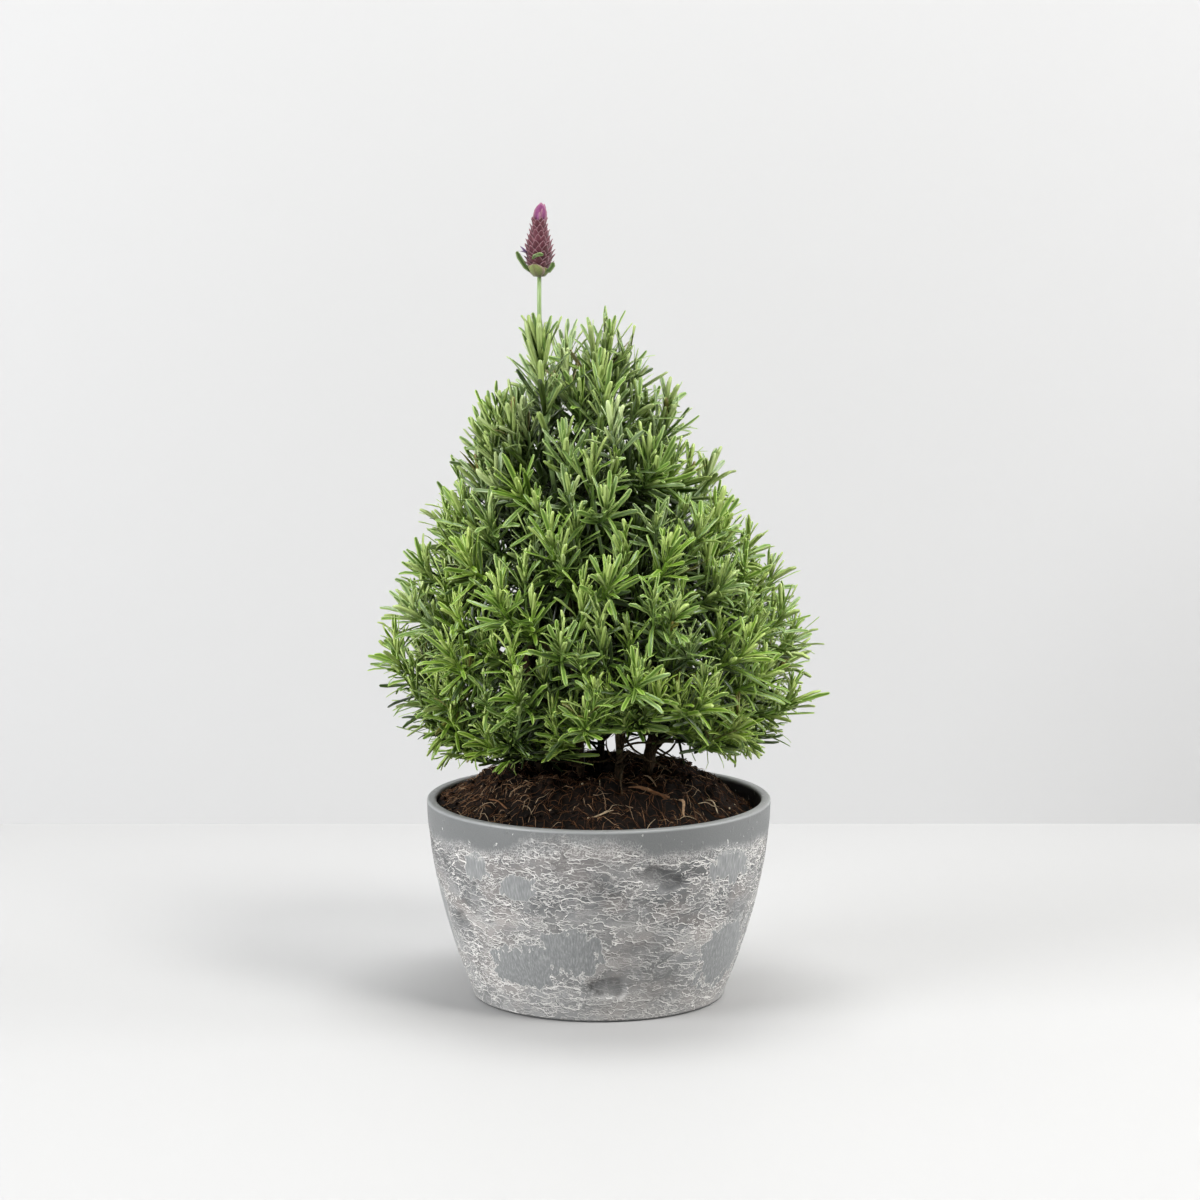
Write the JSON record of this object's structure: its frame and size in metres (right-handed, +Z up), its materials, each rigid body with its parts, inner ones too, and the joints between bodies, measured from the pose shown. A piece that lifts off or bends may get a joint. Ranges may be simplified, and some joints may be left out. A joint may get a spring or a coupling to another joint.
{
  "type": "potted lavender topiary",
  "caption": "Bushy lavender clipped to a cone, with narrow grey-green leaves and a purple flower spike, in a grey faux-stone bowl.",
  "frame": {"origin": "centre of the bowl's flat underside", "axes": "+Z up along the bowl's axis, -Y towards the viewer of the picture, +X to the right in it"},
  "size_m": [0.2996, 0.3091, 0.5326],
  "materials": {
    "pot": "matte",
    "soil": "matte",
    "woody_stem": "matte",
    "leaf": "satin",
    "flower_spike": "matte",
    "flower_tuft": "satin"
  },
  "bodies": {
    "root": {"flower_spike": "flower_spike", "flower_tuft": "flower_tuft", "flowering_stem": "leaf", "leafy_branch_01": "leaf", "leafy_branch_02": "leaf", "leafy_branch_03": "leaf", "leafy_branch_04": "leaf", "leafy_branch_05": "leaf", "leafy_branch_06": "leaf", "leafy_branch_07": "leaf", "leafy_branch_08": "leaf", "leafy_branch_09": "leaf", "leafy_branch_10": "leaf", "leafy_branch_11": "leaf", "leafy_branch_12": "leaf", "leafy_branch_13": "leaf", "leafy_branch_14": "leaf", "leafy_branch_15": "leaf", "leafy_branch_16": "leaf", "leafy_branch_17": "leaf", "leafy_branch_18": "leaf", "leafy_branch_19": "leaf", "leafy_branch_20": "leaf", "leafy_branch_21": "leaf", "leafy_branch_22": "leaf", "leafy_branch_23": "leaf", "leafy_branch_24": "leaf", "leafy_branch_25": "leaf", "leafy_branch_26": "leaf", "leafy_branch_27": "leaf", "leafy_branch_28": "leaf", "leafy_branch_29": "leaf", "leafy_branch_30": "leaf", "leafy_branch_31": "leaf", "leafy_branch_32": "leaf", "leafy_branch_33": "leaf", "leafy_branch_34": "leaf", "leafy_branch_35": "leaf", "leafy_branch_36": "leaf", "leafy_branch_37": "leaf", "leafy_branch_38": "leaf", "leafy_branch_39": "leaf", "leafy_branch_40": "leaf", "pot": "pot", "soil": "soil", "woody_stem_01": "woody_stem", "woody_stem_02": "woody_stem", "woody_stem_03": "woody_stem", "woody_stem_04": "woody_stem", "woody_stem_05": "woody_stem", "woody_stem_06": "woody_stem", "woody_stem_07": "woody_stem"}
  },
  "joints": []
}
